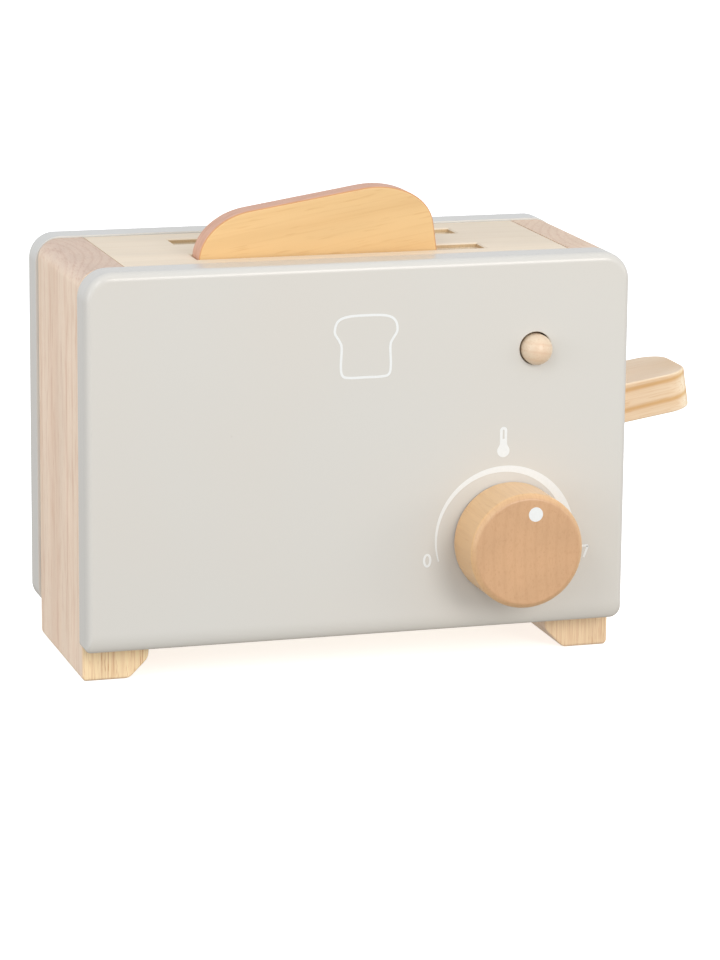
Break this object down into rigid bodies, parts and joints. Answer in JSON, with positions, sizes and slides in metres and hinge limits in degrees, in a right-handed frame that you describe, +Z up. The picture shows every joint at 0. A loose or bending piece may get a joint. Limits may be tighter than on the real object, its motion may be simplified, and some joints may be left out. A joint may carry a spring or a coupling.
{
  "type": "toy toaster",
  "caption": "Wooden play toaster with a rocking lever that raises a wooden slice of toast, a press button and a turning dial knob.",
  "frame": {"origin": "centre of the overall bounding box at floor level, lever, knob and toast included", "axes": "+Z up, -Y towards the front panel's viewer, +X to the side that the lever comes out of"},
  "size_m": [0.2446, 0.118, 0.1765],
  "materials": {
    "grey_lacquer": "wooden board with an opaque warm light grey satin lacquer",
    "pine": "clear-oiled pine, upright grain, end grain on top",
    "plywood": "smooth birch plywood",
    "pale_wood": "smooth pale hardwood, clear-oiled",
    "beech": "turned beech, satin",
    "toast_wood": "orange-yellow stained faces with a painted brown-pink crust on the edge",
    "steel": "bright zinc-plated steel",
    "white_print": "white screen-printed ink on the front panel and the dial"
  },
  "bodies": {
    "case": {"front_panel": "grey_lacquer", "rear_panel": "grey_lacquer", "left_side_board": "pine", "right_side_board": "pine", "top_plate": "plywood", "base_plate": "plywood", "front_guide": "pale_wood", "rear_guide": "pale_wood", "centre_divider": "pale_wood", "front_dowel_left_lower": "pale_wood", "front_dowel_left_upper": "pale_wood", "front_dowel_right_lower": "pale_wood", "front_dowel_right_upper": "pale_wood", "rear_dowel_left_lower": "pale_wood", "rear_dowel_left_upper": "pale_wood", "rear_dowel_right_lower": "pale_wood", "rear_dowel_right_upper": "pale_wood", "pivot_dowel": "pale_wood", "button_block": "pale_wood"},
    "lever": {"lever_arm": "pale_wood", "toast_platform": "plywood", "platform_screw_1": "steel", "platform_screw_2": "steel"},
    "toast": {"toast_slice": "toast_wood"},
    "knob": {"knob": "beech", "knob_spindle": "pale_wood", "knob_washer": "steel", "knob_screw": "steel"},
    "button": {"button_peg": "pale_wood", "button_spring": "steel"}
  },
  "joints": [
    {"name": "lever_rock", "type": "hinge", "parent": "case", "child": "lever", "pos_m": [0.04768, 0.011, 0.0815], "axis": [0, 1, 0], "range_deg": [0, 14]},
    {"name": "toast_lift", "type": "slide", "parent": "lever", "child": "toast", "axis": [0, 0, 1], "range_m": [0, 0.08]},
    {"name": "button_push", "type": "slide", "parent": "case", "child": "button", "axis": [0, 1, 0], "range_m": [0, 0.004], "stiffness_N_per_m": 300, "springref_m": -0.003, "deforming": ["button_spring"]},
    {"name": "knob_turn", "type": "hinge", "parent": "case", "child": "knob", "pos_m": [0.03723, -0.037, 0.0472], "axis": [0, 1, 0], "continuous": true}
  ]
}
